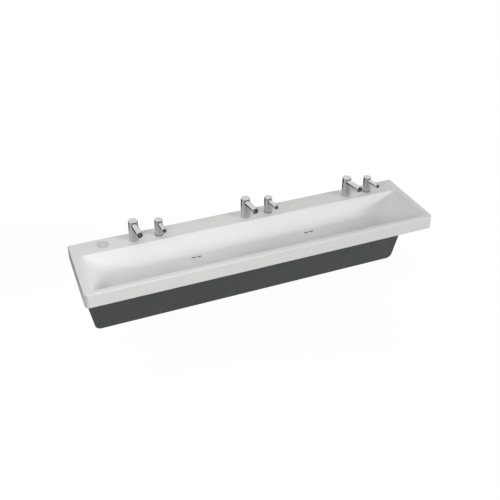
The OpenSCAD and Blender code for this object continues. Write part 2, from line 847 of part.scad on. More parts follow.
// Solid between two insets of the outline, from the wall forward, below the apron
module enclosure_ring(outer_inset, inner_inset, top) {
    translate([0, 0, apron_z])
        rotate([90, 0, 0])
            linear_extrude(basin_depth)
                intersection() {
                    difference() {
                        enclosure_outline(outer_inset);
                        if (inner_inset > 0) enclosure_outline(inner_inset);
                    }
                    translate([-half_length, -enclosure_drop - cut]) square([basin_length, enclosure_drop + cut + top]);
                }
}

// The plane of the enclosure's front: y is the depth behind its outer face
module on_front() {
    translate([0, -enclosure_depth, apron_z]) rotate([front_lean, 0, 0]) children();
}

module front_layer(depth, thickness, low, high) {
    on_front() translate([-half_length, depth, low]) cube([basin_length, thickness, high - low]);
}

panel_length = norm([enclosure_drop, front_run]);

module enclosure_header() color(CHARCOAL) difference() {
    intersection() {
        enclosure_ring(0, 0, 0);
        front_layer(0, sheet, header_seam - hinge_drop, overrun);
    }
    bowl_space(shell_wall + bowl_gap, -shell_wall / 2);
    header_screw_holes();
}

stiffener_height = 40;
stiffener_depth = 12;
stiffener_inset = 80;
stiffener_drop = 260;

module front_panel() color(CHARCOAL) {
    intersection() {
        enclosure_ring(0, 0, 0);
        front_layer(0, sheet, -panel_length - overrun, -hinge_drop - header_seam);
    }
    stiffener_half = half_length - end_setback_bottom - stiffener_inset;
    on_front()
        translate([-stiffener_half, sheet / 2, -stiffener_drop])
            difference() {
                cube([2 * stiffener_half, stiffener_depth + sheet / 2, stiffener_height]);
                translate([-cut, sheet / 2, sheet])
                    cube([2 * stiffener_half + 2 * cut, stiffener_depth - sheet, stiffener_height - 2 * sheet]);
            }
}

// Folded skin of the ends and bottom, with a lip behind the panel and a flange on the wall
module wrap_skin() {
    difference() {
        enclosure_ring(0, sheet, 0);
        front_layer(-basin_depth, basin_depth + sheet + lip_gap, -2 * panel_length, panel_length);
    }
    intersection() {
        enclosure_ring(0, lip_width, 0);
        front_layer(sheet + lip_gap, sheet, -2 * panel_length, panel_length);
    }
    intersection() {
        enclosure_ring(0, lip_width, 0);
        translate([-half_length, -sheet, pan_z - cut]) cube([basin_length, sheet, enclosure_drop + 2 * cut]);
    }
}

module end_panel(side) color(CHARCOAL) intersection() {
    wrap_skin();
    translate([side_sign(side) < 0 ? -half_length : seam_x, -basin_depth, pan_z - cut])
        cube([half_length - seam_x, basin_depth + cut, enclosure_drop + 2 * cut]);
}

module bottom_pan() color(CHARCOAL) intersection() {
    wrap_skin();
    translate([-seam_x, -basin_depth, pan_z - cut]) cube([2 * seam_x, basin_depth + cut, 4 * enclosure_corner_r]);
}

magnet_size = [40, 8, 12];
magnet_shares = [-0.8, -0.3, 0.3, 0.8];

module catch_magnets() color(STEEL) on_front()
    for (share = magnet_shares)
        translate([share * seam_x - magnet_size[0] / 2, 2 * sheet + lip_gap, sheet + lip_gap - panel_length])
            cube(magnet_size);

// Piano hinge: knuckles taken in turn by the two leaves
knuckle_count = 23;
leaf_thickness = 1.5;
leaf_height = 16;
knuckle_gap = 0.4;
leaf_clearance = 0.6;
hinge_half = half_length - end_setback_bottom - enclosure_corner_r / 2;
knuckle_pitch = 2 * hinge_half / knuckle_count;

module hinge_frame() {
    on_front() translate([0, sheet / 2, -hinge_drop]) children();
}

module knuckle_tab(k, up) {
    width = knuckle_pitch - knuckle_gap;
    translate([k * knuckle_pitch - hinge_half + knuckle_gap / 2, 0, 0]) {
        rotate([0, 90, 0]) cylinder(r = knuckle_r, h = width);
        translate([0, sheet / 2, up > 0 ? 0 : -leaf_height]) cube([width, leaf_thickness, leaf_height]);
    }
}

module leaf(up) {
    low = knuckle_r + leaf_clearance;
    translate([-hinge_half, sheet / 2, up > 0 ? low : -leaf_height])
        cube([2 * hinge_half, leaf_thickness, leaf_height - low]);
}

module hinge_upper_leaf() color(STEEL) hinge_frame() {
    leaf(1);
    for (k = [0:2:knuckle_count - 1]) knuckle_tab(k, 1);
    translate([-hinge_half, 0, 0]) rotate([0, 90, 0]) cylinder(r = hinge_pin_r, h = 2 * hinge_half);
}

module hinge_lower_leaf() color(STEEL) hinge_frame()
    difference() {
        union() {
            leaf(-1);
            for (k = [1:2:knuckle_count - 2]) knuckle_tab(k, -1);
        }
        translate([-hinge_half - cut, 0, 0])
            rotate([0, 90, 0]) cylinder(r = hinge_pin_r + running_fit, h = 2 * hinge_half + 2 * cut);
    }

// Wall brackets
anchor_edge = 38;
bracket_top_gap = 7;
bracket_lower_z = -anchor_spacing / 2 - anchor_edge;
bracket_upper_z = apron_z - bracket_top_gap;
deck_pad_gap = 15;
deck_pad_front = deck_width - shell_wall - deck_pad_gap;
back_gap = 2;
deck_pad_back = shell_wall + back_gap;
floor_pad_back = deck_width + rear_wall_run + rear_fillet;
nose_height = 18;
nose_drop = 2;

function front_y(z, depth) = -enclosure_depth + (apron_z - z) * tan(front_lean) + depth / cos(front_lean);

module bracket_web() {
    pad_z = deck_under_z - plate;
    low_z = floor_under_z - plate;
    nose_z = low_z - nose_drop - nose_height;
    polygon([
        [-plate, bracket_upper_z],
        [-deck_pad_back, bracket_upper_z],
        [-deck_pad_back, pad_z],
        [-deck_pad_front, pad_z],
        [-deck_pad_front, apron_z],
        [-deck_pad_front - rear_wall_run / 2, low_z],
        [front_y(low_z, sheet + plate), low_z],
        [front_y(nose_z, sheet + plate), nose_z],
        [-plate, bracket_lower_z]
    ]);
}

module wall_bracket(x) {
    low_z = floor_under_z - plate;
    pad_front = -front_y(low_z, sheet + plate);
    translate([x, 0, 0]) {
        translate([-plate / 2, 0, 0]) rotate([90, 0, 90]) linear_extrude(plate) bracket_web();
        translate([-flange_width / 2, -plate, bracket_lower_z])
            cube([flange_width, plate, bracket_upper_z - bracket_lower_z]);
        translate([-flange_width / 2, -deck_pad_front, deck_under_z - plate])
            cube([flange_width, deck_pad_front - deck_pad_back, plate]);
        translate([-flange_width / 2, -pad_front, low_z])
            cube([flange_width, pad_front - floor_pad_back, plate]);
    }
    intersection() {
        front_layer(sheet, plate, -enclosure_drop, 0);
        translate([x - flange_width / 2, -basin_depth, low_z - nose_drop - nose_height])
            cube([flange_width, basin_depth, nose_height]);
    }
}

module wall_brackets() color(STEEL) difference() {
    for (x = bracket_xs) wall_bracket(x);
    for (x = bracket_xs, k = [-1, 1])
        translate([x, cut, k * anchor_spacing / 2])
            rotate([90, 0, 0]) cylinder(r = anchor_hole_r, h = plate + 2 * cut);
    for (p = deck_screw_places())
        translate([p[0], p[1], deck_under_z - plate - cut]) cylinder(r = screw_r + running_fit, h = plate + 2 * cut);
    header_screw_holes();
}

// Screws, all alike
screw_r = 2.5;
screw_length = 14;
screw_head_r = 4.8;
screw_head_height = 3;
deck_screw_edge = 20;
deck_screw_front = deck_pad_front - deck_screw_edge;
deck_screw_side = 12;
screw_end_gap = 0.5;
header_screw_drop = 16;
header_screw_side = 12;

function deck_screw_places() = [for (x = bracket_xs, k = [-1, 1]) [x + k * deck_screw_side, -deck_screw_front]];

module header_screw_frames() {
    for (x = bracket_xs, k = [-1, 1])
        translate([x + k * header_screw_side, 0, 0])
            on_front()
                translate([0, 0, -(bowl_depth + shell_wall - apron_height) - header_screw_drop])
                    rotate([-90, 0, 0]) children();
}

module header_screw_holes() {
    header_screw_frames() translate([0, 0, -cut]) cylinder(r = screw_r + running_fit, h = sheet + plate + 2 * cut);
}

module screw() {
    cylinder(r = screw_r, h = screw_length);
    translate([0, 0, -screw_head_height]) cylinder(r = screw_head_r, h = screw_head_height);
}

module basin_screw_holes() {
    for (p = deck_screw_places())
        translate([p[0], p[1], deck_under_z - cut])
            cylinder(r = screw_r + running_fit, h = screw_length - plate + screw_end_gap + cut);
    for (side = SIDES, k = [-1, 1])
        translate([drain_x(side) + k * sump_screw_x, drain_y, floor_under_z - cut])
            cylinder(r = screw_r + running_fit,
                h = screw_length - sump_flange_thickness - gasket_thickness + screw_end_gap + cut);
}

module mounting_screws() color(STEEL) {
    for (p = deck_screw_places()) translate([p[0], p[1], deck_under_z - plate]) screw();
    for (side = SIDES, k = [-1, 1])
        translate([drain_x(side) + k * sump_screw_x, drain_y, sump_top_z - sump_flange_thickness]) screw();
    header_screw_frames() screw();
}

basin();
deck_medallion();
drain_cover("left");  // drain_cover_left
drain_cover("right");  // drain_cover_right
for (i = STATIONS) {
    tap_body(i);
    tap_spout(i);
    soap_body(i);
    soap_spout(i);
    soap_pump(i);
    soap_bottle(i);
    control_box(i);
    stop_valve(i);
    stop_handle(i);
    supply_hose(i);
}
tap_caps();
tap_aerators();
sensor_windows();
soap_caps();
soap_base_rings();
mounting_nuts();
mounting_washers();
for (side = SIDES) {
    drain_sump(side);
    trap_bend(side);
    trap_arm(side);
    end_panel(side);
}
sump_gaskets();
mounting_screws();
slip_nuts();
enclosure_header();
front_panel();
bottom_pan();
hinge_upper_leaf();
hinge_lower_leaf();
catch_magnets();
wall_brackets();
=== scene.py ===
"""Looks of the three-station trough washbasin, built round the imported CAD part."""

import json
import math

import bmesh
import bpy
from mathutils import Matrix, Vector
from mathutils.geometry import tessellate_polygon


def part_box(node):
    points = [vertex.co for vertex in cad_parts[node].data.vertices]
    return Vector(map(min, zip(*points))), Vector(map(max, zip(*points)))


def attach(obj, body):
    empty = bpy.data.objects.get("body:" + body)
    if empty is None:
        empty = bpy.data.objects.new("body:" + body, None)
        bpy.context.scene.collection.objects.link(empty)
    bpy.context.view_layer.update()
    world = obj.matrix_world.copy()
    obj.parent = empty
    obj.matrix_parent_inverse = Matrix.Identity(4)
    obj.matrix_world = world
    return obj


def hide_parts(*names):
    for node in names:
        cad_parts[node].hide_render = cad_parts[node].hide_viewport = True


MM = 0.001

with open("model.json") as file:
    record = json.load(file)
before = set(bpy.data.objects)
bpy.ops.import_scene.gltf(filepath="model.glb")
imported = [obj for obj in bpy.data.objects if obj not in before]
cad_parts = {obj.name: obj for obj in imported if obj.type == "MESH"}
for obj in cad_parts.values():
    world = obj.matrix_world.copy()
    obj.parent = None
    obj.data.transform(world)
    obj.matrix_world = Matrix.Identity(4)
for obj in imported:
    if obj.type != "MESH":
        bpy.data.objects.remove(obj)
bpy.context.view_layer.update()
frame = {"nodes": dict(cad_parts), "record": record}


# Sizes in millimetres, read from the frame where a node shows them

def whole_box(node):
    """Low and high corner of a node; rounding takes out what its facets leave."""
    low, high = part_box(node)
    return [round(value / MM) for value in low], [round(value / MM) for value in high]


def middle_of(node):
    low, high = whole_box(node)
    return [(a + b) / 2 for a, b in zip(low, high)]


# Slab: its outside, the wall of the moulding, and the radii of its corners and edges
BASIN_LOW, BASIN_HIGH = whole_box("basin")
HALF_LENGTH = BASIN_HIGH[0]
REACH = -BASIN_LOW[1]
TOP = BASIN_HIGH[2]
WALL = 13
BOWL_DEPTH = TOP - WALL - BASIN_LOW[2]
APRON = 88
SLAB_CORNER = 28
TOP_EDGE = 6
LIP_EDGE = 4

# Bowl: its rim's distance from the slab's edges, and each wall's way down from the rim
FRONT_LEDGE = 42
DECK = 143
END_LEDGE = 56
BOWL_WALLS = {
    "rear": {"rim": -DECK, "run": 38, "foot_fillet": 45, "rim_roll": 7, "outside": 1},
    "front": {"rim": FRONT_LEDGE - REACH, "run": 30, "foot_fillet": 50, "rim_roll": 12, "outside": -1},
    "end": {"rim": HALF_LENGTH - END_LEDGE, "run": 128, "foot_fillet": 130, "rim_roll": 55, "outside": 1},
}

# Plan radius of the bowl's corners at the rim, and how much wider they are at the floor
RIM_CORNER = 32
FRONT_CORNER_WIDENING = 34
REAR_CORNER_WIDENING = 118
REAR_WIDENING_POWER = 1.1

# Openings: the shanks' holes, the disc's seat, and the drains with their covers' slots
HOLE_RADIUS = {"tap_body": 17, "soap_body": 15}
DISC_LOW, DISC_HIGH = whole_box("deck_medallion")
DISC_CENTRE = middle_of("deck_medallion")[:2]
DISC_RADIUS = (DISC_HIGH[0] - DISC_LOW[0]) / 2
DISC_GAP = 0.3
DISC_SEAT_DEPTH = 2
COVER_LOW, COVER_HIGH = whole_box("drain_cover_left")
COVER_HALF_LENGTH = (COVER_HIGH[0] - COVER_LOW[0]) / 2
COVER_HALF_WIDTH = (COVER_HIGH[1] - COVER_LOW[1]) / 2
COVER_THICKNESS = COVER_HIGH[2] - COVER_LOW[2]
COVER_CORNER = 8
COVER_GAP = 0.4
COVER_LEDGE = 4
# Reach of the painted slot shade round a cover's middle, half across and half along
SLOT_SHADE_HALF_WIDTH = 6
SLOT_SHADE_HALF_LENGTH = 40

# Heights over the deck between which the painted shade in a spout's crease fades in
CORNER_SHADE_FROM = 30
CORNER_SHADE_TO = 52

# Depths given for the bowl's rings, inside and outside, closer together where a wall curves
BOWL_DEPTHS = [
    0, 0.05, 0.2, 0.45, 0.8, 1.3, 2, 2.8, 3.8, 5, 7, 10, 14, 18, 22, 28, 36, 45, 54, 62, 70, 78, 85, 91, 96,
    100.5, 104.5, 108, 111, 114, 116.5, 118.7, 120.5, 122, 123.3, 124.3, 125.1, 125.6, 125.9, BOWL_DEPTH,
]
SHELL_DEPTHS = [
    WALL, 40, 70, 90, 100, 108, 115, 121, 126, 130, 133.5, 136, 137.8, 138.7, BOWL_DEPTH + WALL,
]

# Straight stretches per rounded corner or circle
BOWL_CORNER_STEPS = 14
SLAB_CORNER_STEPS = 10
TOP_EDGE_STEPS = 8
LIP_EDGE_STEPS = 4
APRON_STEPS = 4
POCKET_STEPS = 6
SEAT_STEPS = 6
THROAT_STEPS = 4
HOLE_STEPS = 32
DISC_STEPS = 64

# Points this close together become one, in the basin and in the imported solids
BASIN_MERGE = 0.001
SOLID_MERGE = 0.01

# Edges that turn further than this stay sharp
SHARP_ANGLE = math.radians(32)


# Materials

# Most of a noise lies between these two values
NOISE_LOW = 0.3
NOISE_HIGH = 0.7

# Openness of a place, below which it gets the full painted corner shade and above which none
FULL_SHADE_OPENNESS = 0.55
NO_SHADE_OPENNESS = 0.8


def empty_material(name):
    material = bpy.data.materials.new(name)
    material.use_nodes = True
    material.node_tree.nodes.clear()
    return material, material.node_tree


def new_material(name):
    material, tree = empty_material(name)
    out = tree.nodes.new("ShaderNodeOutputMaterial")
    shader = tree.nodes.new("ShaderNodeBsdfPrincipled")
    tree.links.new(shader.outputs["BSDF"], out.inputs["Surface"])
    return material, tree, shader


def position(tree, rotation=(0, 0, 0)):
    coords = tree.nodes.new("ShaderNodeTexCoord")
    mapping = tree.nodes.new("ShaderNodeMapping")
    mapping.inputs["Rotation"].default_value = rotation
    tree.links.new(coords.outputs["Object"], mapping.inputs["Vector"])
    return mapping.outputs["Vector"]


def noise(tree, vector, scale, detail=4.0):
    node = tree.nodes.new("ShaderNodeTexNoise")
    node.inputs["Scale"].default_value = scale
    node.inputs["Detail"].default_value = detail
    node.inputs["Roughness"].default_value = 0.55
    tree.links.new(vector, node.inputs["Vector"])
    return node.outputs["Fac"]


def voronoi(tree, vector, scale):
    node = tree.nodes.new("ShaderNodeTexVoronoi")
    node.inputs["Scale"].default_value = scale
    tree.links.new(vector, node.inputs["Vector"])
    return node.outputs["Distance"]


def ramp(tree, factor, stops):
    node = tree.nodes.new("ShaderNodeValToRGB")
    elements = node.color_ramp.elements
    while len(elements) < len(stops):
        elements.new(0.5)
    for element, (place, colour) in zip(elements, stops):
        element.position = place
        element.color = (*colour, 1)
    tree.links.new(factor, node.inputs["Fac"])
    return node.outputs["Color"]


def spread(tree, factor, low, high):
    """Turns a noise into a value between low and high."""
    node = tree.nodes.new("ShaderNodeMapRange")
    node.inputs["From Min"].default_value = NOISE_LOW
    node.inputs["From Max"].default_value = NOISE_HIGH
    node.inputs["To Min"].default_value = low
    node.inputs["To Max"].default_value = high
    tree.links.new(factor, node.inputs["Value"])
    return node.outputs["Result"]


def bump(tree, shader, height, strength, distance):
    node = tree.nodes.new("ShaderNodeBump")
    node.inputs["Strength"].default_value = strength
    node.inputs["Distance"].default_value = distance
    tree.links.new(height, node.inputs["Height"])
    tree.links.new(node.outputs["Normal"], shader.inputs["Normal"])


def shaded(colour, share):
    return tuple(part * share for part in colour)


def painted_crease_shade(tree, shade, reach, dark):
    """Painted shade: darkens a colour in the corners where a spout leaves its column, and not at the column's
    foot.
    """
    corner = tree.nodes.new("ShaderNodeAmbientOcclusion")
    corner.samples = 12
    corner.inputs["Distance"].default_value = reach
    stops = [(FULL_SHADE_OPENNESS, (dark, dark, dark)), (NO_SHADE_OPENNESS, (1, 1, 1))]
    painted_shade = ramp(tree, corner.outputs["AO"], stops)
    coords = tree.nodes.new("ShaderNodeTexCoord")
    parts = tree.nodes.new("ShaderNodeSeparateXYZ")
    above = tree.nodes.new("ShaderNodeMapRange")
    above.inputs["From Min"].default_value = (TOP + CORNER_SHADE_FROM) * MM
    above.inputs["From Max"].default_value = (TOP + CORNER_SHADE_TO) * MM
    tree.links.new(coords.outputs["Object"], parts.inputs["Vector"])
    tree.links.new(parts.outputs["Z"], above.inputs["Value"])
    mix = tree.nodes.new("ShaderNodeMix")
    mix.data_type = "RGBA"
    mix.blend_type = "MULTIPLY"
    tree.links.new(above.outputs["Result"], mix.inputs["Factor"])
    tree.links.new(shade, mix.inputs["A"])
    tree.links.new(painted_shade, mix.inputs["B"])
    return mix.outputs["Result"]


def finish_of(name, colour, vary, clouds, rough, grain, metallic=0.0, flakes=False, corner_shade=None):
    """Cloudy colour, uneven roughness and a fine grain, each from its own noise.

    vary is the clouds' share of the colour, rough the range of roughness, and grain holds scale, strength
    and height in millimetres. flakes draws the grain as crystals. The last argument holds the reach and
    darkness of painted shade in the corners where a spout leaves its column.
    """
    material, tree, shader = new_material(name)
    place = position(tree)
    cloud = noise(tree, place, clouds)
    stops = [(NOISE_LOW, shaded(colour, 1 - vary)), (NOISE_HIGH, shaded(colour, 1 + vary))]
    shade = ramp(tree, cloud, stops)
    # Painted shade in the corners where a spout leaves its column
    if corner_shade:
        shade = painted_crease_shade(tree, shade, *corner_shade)
    tree.links.new(shade, shader.inputs["Base Color"])
    wear = noise(tree, place, clouds * 2.3)
    tree.links.new(spread(tree, wear, *rough), shader.inputs["Roughness"])
    scale, strength, height = grain
    relief = voronoi(tree, place, scale) if flakes else noise(tree, place, scale, 2.0)
    bump(tree, shader, relief, strength, height * MM)
    shader.inputs["Metallic"].default_value = metallic
    return material


def ringed_finish(name, centre, radius, rings):
    """Turned disc: shade changes with the distance from its centre. Centre and radius in millimetres."""
    material, tree, shader = new_material(name)
    coords = tree.nodes.new("ShaderNodeTexCoord")
    flat = tree.nodes.new("ShaderNodeVectorMath")
    flat.operation = "MULTIPLY"
    flat.inputs[1].default_value = (1, 1, 0)
    reach = tree.nodes.new("ShaderNodeVectorMath")
    reach.operation = "DISTANCE"
    reach.inputs[1].default_value = (centre[0] * MM, centre[1] * MM, 0)
    share = tree.nodes.new("ShaderNodeMath")
    share.operation = "DIVIDE"
    share.inputs[1].default_value = radius * MM
    tree.links.new(coords.outputs["Object"], flat.inputs[0])
    tree.links.new(flat.outputs["Vector"], reach.inputs[0])
    tree.links.new(reach.outputs["Value"], share.inputs[0])
    stops = [(place, (shade, shade, shade * 0.995)) for place, shade in rings]
    tree.links.new(ramp(tree, share.outputs["Value"], stops), shader.inputs["Base Color"])
    fine = noise(tree, position(tree), 60)
    tree.links.new(spread(tree, fine, 0.3, 0.42), shader.inputs["Roughness"])
    bump(tree, shader, noise(tree, position(tree), 1200, 2.0), 0.08, 0.05 * MM)
    return material


def braid_finish(bands, turn):
    """Stainless braid: two crossed sets of fine bands."""
    material, tree, shader = new_material("stainless_braid")
    waves = []
    for lean in (turn, -turn):
        wave = tree.nodes.new("ShaderNodeTexWave")
        wave.inputs["Scale"].default_value = bands
        wave.inputs["Distortion"].default_value = 0.4
        tree.links.new(position(tree, (lean, lean * 0.6, 0)), wave.inputs["Vector"])
        waves.append(wave.outputs["Fac"])
    cross = tree.nodes.new("ShaderNodeMath")
    cross.operation = "MAXIMUM"
    tree.links.new(waves[0], cross.inputs[0])
    tree.links.new(waves[1], cross.inputs[1])
    stops = [(0.1, (0.14, 0.145, 0.15)), (0.75, (0.62, 0.63, 0.64))]
    tree.links.new(ramp(tree, cross.outputs["Value"], stops), shader.inputs["Base Color"])
    tree.links.new(spread(tree, cross.outputs["Value"], 0.5, 0.3), shader.inputs["Roughness"])
    bump(tree, shader, cross.outputs["Value"], 0.5, 0.4 * MM)
    shader.inputs["Metallic"].default_value = 1.0
    return material


# Shares of the disc's radius and the shade from there on
DISC_RINGS = [(0.0, 0.69), (0.3, 0.68), (0.42, 0.57), (0.82, 0.57), (0.96, 0.73)]

FINISH = {
    "solid_surface": finish_of("solid_surface", (0.76, 0.758, 0.75),
                               vary=0.01, clouds=7, rough=(0.34, 0.46), grain=(1400, 0.05, 0.02)),
    "inlay": ringed_finish("inlay_disc", DISC_CENTRE, DISC_RADIUS, DISC_RINGS),
    # Satin metal carries painted shade in the corners where a spout leaves its column
    "satin_metal": finish_of("satin_metal", (0.61, 0.61, 0.605), metallic=1.0, corner_shade=(0.022, 0.05),
                             vary=0.03, clouds=22, rough=(0.10, 0.18), grain=(700, 0.04, 0.02)),
    "dark_plastic": finish_of("dark_plastic", (0.045, 0.046, 0.048),
                              vary=0.18, clouds=25, rough=(0.32, 0.5), grain=(1500, 0.2, 0.05)),
    "rubber": finish_of("rubber", (0.03, 0.03, 0.031),
                        vary=0.2, clouds=40, rough=(0.6, 0.8), grain=(1300, 0.3, 0.05)),
    "bottle_plastic": finish_of("bottle_plastic", (0.74, 0.74, 0.69),
                                vary=0.03, clouds=14, rough=(0.28, 0.42), grain=(900, 0.06, 0.05)),
    "chromed_brass": finish_of("chromed_brass", (0.62, 0.62, 0.63), metallic=1.0,
                               vary=0.02, clouds=25, rough=(0.08, 0.16), grain=(600, 0.03, 0.02)),
    "braid": braid_finish(bands=260, turn=0.7),
    "brass": finish_of("brass", (0.60, 0.44, 0.18), metallic=1.0,
                       vary=0.1, clouds=30, rough=(0.25, 0.4), grain=(800, 0.1, 0.05)),
    "steel": finish_of("zinc_steel", (0.50, 0.51, 0.52), metallic=1.0, flakes=True,
                       vary=0.12, clouds=60, rough=(0.32, 0.5), grain=(160, 0.08, 0.06)),
    "charcoal_sheet": finish_of("charcoal_powder_coat", (0.0430, 0.0452, 0.0448),
                                vary=0.05, clouds=9, rough=(0.5, 0.62), grain=(1100, 0.35, 0.12)),
}


# Mesh tools

class Skin:
    """Gathers points and faces in millimetres; planes with holes are cut into triangles."""

    def __init__(self):
        self.points = []
        self.faces = []

    def ring(self, points):
        start = len(self.points)
        self.points.extend(points)
        return list(range(start, len(self.points)))

    def bridge(self, first, second, closed=True):
        count = len(first)
        for here in range(count if closed else count - 1):
            after = (here + 1) % count
            self.faces.append((first[here], first[after], second[after], second[here]))

    def plane(self, *loops):
        flat = [[Vector((*self.points[index][:2], 0)) for index in loop] for loop in loops]
        order = [index for loop in loops for index in loop]
        for triangle in tessellate_polygon(flat):
            self.faces.append(tuple(order[index] for index in triangle))

    def well(self, loop, high_z, low_z):
        """Upright wall along a loop; gives its upper and its lower ring."""
        high = self.ring([(x, y, high_z) for x, y in loop])
        low = self.ring([(x, y, low_z) for x, y in loop])
        self.bridge(high, low)
        return high, low

    def build(self, name):
        bm = bmesh.new()
        made = [bm.verts.new(Vector(point) * MM) for point in self.points]
        for face in self.faces:
            bm.faces.new([made[index] for index in face])
        bmesh.ops.remove_doubles(bm, verts=bm.verts, dist=BASIN_MERGE * MM)
        bmesh.ops.dissolve_degenerate(bm, edges=bm.edges, dist=BASIN_MERGE / 10 * MM)
        bmesh.ops.recalc_face_normals(bm, faces=bm.faces)
        for face in bm.faces:
            face.smooth = True
        for edge in bm.edges:
            edge.smooth = len(edge.link_faces) == 2 and edge.calc_face_angle(0) < SHARP_ANGLE
        mesh = bpy.data.meshes.new(name)
        bm.to_mesh(mesh)
        bm.free()
        obj = bpy.data.objects.new(name, mesh)
        bpy.context.scene.collection.objects.link(obj)
        weighted = obj.modifiers.new("even_shading", "WEIGHTED_NORMAL")
        weighted.keep_sharp = True
        return obj


def arc(centre, radius, start, end, steps):
    angles = [start + (end - start) * step / steps for step in range(steps + 1)]
    return [(centre[0] + radius * math.cos(angle), centre[1] + radius * math.sin(angle)) for angle in angles]


def circle(centre, radius, steps):
    return arc(centre, radius, 0, 2 * math.pi, steps)[:-1]


def rounded_loop(left, right, front, rear, radii, steps):
    """Counter-clockwise loop; radii of the front right, rear right, rear left and front left corner."""
    corners = [(right, front, -1, 1), (right, rear, -1, -1), (left, rear, 1, -1), (left, front, 1, 1)]
    loop = []
    for quarter, ((x, y, inward_x, inward_y), radius) in enumerate(zip(corners, radii)):
        start = (quarter - 1) * math.pi / 2
        centre = (x + inward_x * radius, y + inward_y * radius)
        loop.extend(arc(centre, radius, start, start + math.pi / 2, steps))
    return loop


# The basin

def wall_place(wall, depth, grow=0):
    """Where a bowl wall stands at a depth: rolled rim, slope, then the foot's fillet."""
    rim, run, out, roll = wall["rim"], wall["run"], wall["outside"], wall["rim_roll"]
    slant = math.hypot(run, BOWL_DEPTH)
    slope = math.atan(BOWL_DEPTH / run)
    if not grow and depth <= roll * (1 - math.cos(slope)):
        return rim + out * (roll * math.tan(slope / 2) - math.sqrt(roll ** 2 - (roll - depth) ** 2))
    edge = rim + out * grow * slant / BOWL_DEPTH
    full = BOWL_DEPTH + grow
    radius = wall["foot_fillet"] + grow
    tangent = radius * math.tan(slope / 2)
    if depth <= full - tangent * BOWL_DEPTH / slant:
        return edge - out * run * depth / BOWL_DEPTH
    centre = run * full / BOWL_DEPTH + tangent
    return edge - out * (centre - math.sqrt(max(radius ** 2 - (depth - full + radius) ** 2, 0)))


def corner_radii(depth, grow):
    """Plan radii of the bowl's front and rear corners; they widen towards the floor."""
    share = min(depth / BOWL_DEPTH, 1)
    front = RIM_CORNER + FRONT_CORNER_WIDENING * share + grow
    rear = RIM_CORNER + REAR_CORNER_WIDENING * share ** REAR_WIDENING_POWER + grow
    return [front, rear, rear, front]


def bowl_loop(depth, grow=0):
    """Level loop round the bowl, or round the outside of its shell."""
    front, rear, end = [wall_place(BOWL_WALLS[wall], depth, grow) for wall in ("front", "rear", "end")]
    loop = rounded_loop(-end, end, front, rear, corner_radii(depth, grow), BOWL_CORNER_STEPS)
    return [(x, y, TOP - depth) for x, y in loop]


def bowl_wall(skin, depths, grow=0):
    """The bowl's wall, ring by ring; gives its first and last ring."""
    rings = [skin.ring(bowl_loop(depth, grow)) for depth in depths]
    for upper, lower in zip(rings, rings[1:]):
        skin.bridge(upper, lower)
    return rings[0], rings[-1]


def slab_section():
    """Points out from a corner's centre and down from the deck: top edge, apron and lip edge."""
    top = arc((SLAB_CORNER - TOP_EDGE, -TOP_EDGE), TOP_EDGE, math.pi / 2, 0, TOP_EDGE_STEPS)
    side = [(SLAB_CORNER, -APRON * step / APRON_STEPS) for step in range(1, APRON_STEPS)]
    lip = arc((SLAB_CORNER - LIP_EDGE, LIP_EDGE - APRON), LIP_EDGE, 0, -math.pi / 2, LIP_EDGE_STEPS)
    return top + side + lip


def slab_rim(skin):
    """The section swept along a U-shaped path, with the flat back; gives the top and the bottom ring."""
    x, y = HALF_LENGTH - SLAB_CORNER, SLAB_CORNER - REACH
    rings = []
    for out, z in slab_section():
        left = arc((-x, y), out, math.pi, 1.5 * math.pi, SLAB_CORNER_STEPS)
        right = arc((x, y), out, 1.5 * math.pi, 2 * math.pi, SLAB_CORNER_STEPS)
        path = [(-x - out, 0), *left, *right, (x + out, 0)]
        rings.append(skin.ring([(*point, TOP + z) for point in path]))
    for upper, lower in zip(rings, rings[1:]):
        skin.bridge(upper, lower, closed=False)
    skin.faces.append(tuple([ring[0] for ring in rings] + [ring[-1] for ring in reversed(rings)]))
    return rings[0], rings[-1]


def shank_holes(skin):
    """Holes through the deck; gives their upper and their lower rings."""
    highs, lows = [], []
    for body, radius in HOLE_RADIUS.items():
        for station in (1, 2, 3):
            centre = middle_of(f"{body}_{station}")
            high, low = skin.well(circle(centre, radius, HOLE_STEPS), TOP, TOP - WALL)
            highs.append(high)
            lows.append(low)
    return highs, lows


def disc_seat(skin):
    outline = circle(DISC_CENTRE, DISC_RADIUS + DISC_GAP, DISC_STEPS)
    high, low = skin.well(outline, TOP, TOP - DISC_SEAT_DEPTH)
    skin.plane(low)
    return high


def cover_loop(centre, grow, steps):
    """Outline of a drain cover, wider or narrower by grow."""
    x, y = centre[:2]
    half_x, half_y = COVER_HALF_LENGTH + grow, COVER_HALF_WIDTH + grow
    return rounded_loop(x - half_x, x + half_x, y - half_y, y + half_y, [COVER_CORNER + grow] * 4, steps)


def drain_openings(skin):
    """A ledge for each cover and the way through; gives the rings in the floor and in the shell."""
    floor_z = TOP - BOWL_DEPTH
    ledge_z = floor_z - COVER_THICKNESS
    seats, throats = [], []
    for side in ("left", "right"):
        centre = middle_of(f"drain_cover_{side}")
        wide = cover_loop(centre, COVER_GAP, SEAT_STEPS)
        narrow = cover_loop(centre, -COVER_LEDGE, THROAT_STEPS)
        seat, ledge_outside = skin.well(wide, floor_z, ledge_z)
        ledge_inside, throat = skin.well(narrow, ledge_z, floor_z - WALL)
        skin.plane(ledge_outside, ledge_inside)
        seats.append(seat)
        throats.append(throat)
    return seats, throats


